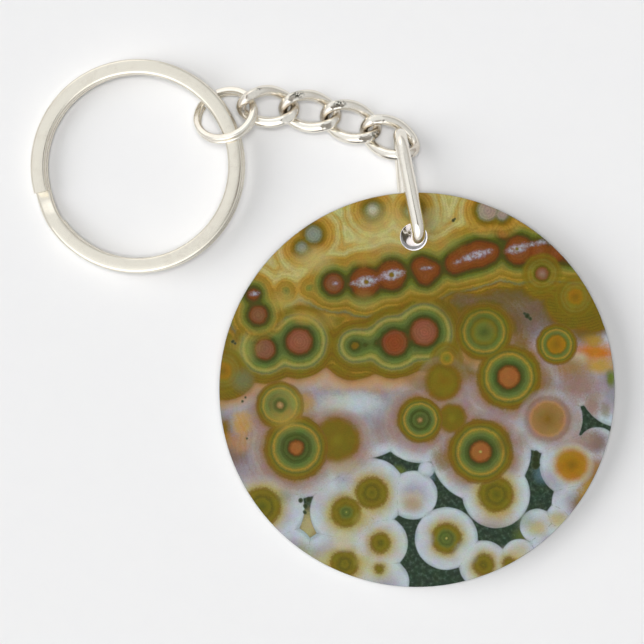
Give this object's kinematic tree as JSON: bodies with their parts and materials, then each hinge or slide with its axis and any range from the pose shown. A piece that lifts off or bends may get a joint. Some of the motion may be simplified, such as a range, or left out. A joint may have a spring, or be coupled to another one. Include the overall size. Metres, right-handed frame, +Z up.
{
  "type": "keychain",
  "caption": "Flat round acrylic charm with a stone-pattern print, hung by an oval connector and a short curb chain from a split key ring.",
  "frame": {"origin": "middle of the laid-out keychain's outline, on the table that it lies on", "axes": "+Z up from the table out of the printed face; +X from the key ring towards the charm; +Y from the charm towards the chain"},
  "size_m": [0.0752, 0.068, 0.0074],
  "materials": {
    "printed_acrylic": "clear acrylic sheet, glossy, printed on both faces with orbs and bands in olive, gold, rust, lilac and white",
    "plated_connector": "polished nickel-plated wire",
    "plated_chain": "polished nickel-plated wire, darker inside the links",
    "plated_ring": "satin to polished nickel-plated flat spring wire"
  },
  "bodies": {
    "disc": {"charm_disc": "printed_acrylic"},
    "connector": {"connector_link": "plated_connector"},
    "link_4": {"chain_link_4": "plated_chain"},
    "link_3": {"chain_link_3": "plated_chain"},
    "link_2": {"chain_link_2": "plated_chain"},
    "link_1": {"chain_link_1": "plated_chain"},
    "small_ring": {"jump_ring": "plated_chain"},
    "key_ring": {"split_ring": "plated_ring"}
  },
  "joints": [
    {"name": "connector_swivel", "type": "hinge", "parent": "disc", "child": "connector", "pos_m": [0.01174, 0.01111, 0.00362], "axis": [0.0011, -0.0471, 0.9989], "range_deg": [-30, 15]},
    {"name": "link_4_swing", "type": "hinge", "parent": "connector", "child": "link_4", "pos_m": [0.01007, 0.0232, 0.00363], "axis": [0, 0, -1], "range_deg": [-12, 12]},
    {"name": "link_3_swing", "type": "hinge", "parent": "link_4", "child": "link_3", "pos_m": [0.00623, 0.02491, 0.00189], "axis": [0, 0, 1], "range_deg": [-14, 14]},
    {"name": "link_2_swing", "type": "hinge", "parent": "link_3", "child": "link_2", "pos_m": [0.00109, 0.02661, 0.00197], "axis": [0, 0, -1], "range_deg": [-14, 14]},
    {"name": "link_1_swing", "type": "hinge", "parent": "link_2", "child": "link_1", "pos_m": [-0.00423, 0.02759, 0.00252], "axis": [0, 0, 1], "range_deg": [-12, 12]},
    {"name": "small_ring_swing", "type": "hinge", "parent": "link_1", "child": "small_ring", "pos_m": [-0.00986, 0.02801, 0.00359], "axis": [0, 0, -1], "range_deg": [-12, 12]},
    {"name": "key_ring_turn", "type": "hinge", "parent": "small_ring", "child": "key_ring", "pos_m": [-0.02374, 0.0202, 0.00222], "axis": [-0.0741, 0, 0.9973], "continuous": true}
  ]
}
